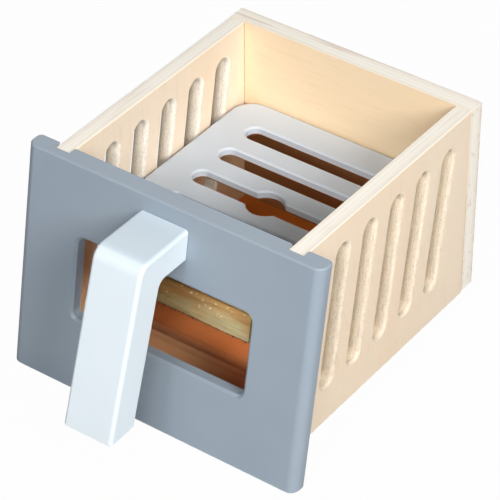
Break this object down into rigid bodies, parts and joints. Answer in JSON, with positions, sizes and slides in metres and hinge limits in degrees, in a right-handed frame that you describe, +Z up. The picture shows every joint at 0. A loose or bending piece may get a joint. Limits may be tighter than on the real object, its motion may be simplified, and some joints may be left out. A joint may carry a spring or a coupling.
{
  "type": "toy air fryer basket",
  "caption": "Plywood toy fryer drawer with a leaning windowed front, a bent handle, vented sides and a slotted rack that lifts out.",
  "frame": {"origin": "middle of the box's underside: halfway across, and halfway between the front panel's back face at the rim and the outer back wall", "axes": "+Z up, -Y towards the front panel and its handle, +X to the right of someone who looks along +Y at the front"},
  "size_m": [0.1606, 0.2075, 0.1135],
  "materials": {
    "panel_paint": "satin grey-blue paint on plywood",
    "plywood": "sanded pale plywood, clear lacquer",
    "orange_paint": "orange gloss paint on a thin insert board",
    "clear_sheet": "clear glossy sheet",
    "white_paint": "satin white paint on solid wood",
    "grey_paint": "satin light grey paint on thin board",
    "raw_wood": "raw sawn wood",
    "screw_steel": "plain zinc"
  },
  "bodies": {
    "drawer": {"front_panel": "panel_paint", "left_side_panel": "plywood", "right_side_panel": "plywood", "back_panel": "plywood", "bottom_board": "plywood", "floor_insert": "orange_paint", "window_pane": "clear_sheet", "handle": "white_paint", "front_rack_cleat": "raw_wood", "rear_rack_cleat": "raw_wood", "handle_screws": "screw_steel", "corner_dowels": "raw_wood"},
    "rack": {"crisper_rack": "grey_paint"}
  },
  "joints": [
    {"name": "rack_lift", "type": "slide", "parent": "drawer", "child": "rack", "axis": [0, 0, 1], "range_m": [0, 0.06]}
  ]
}
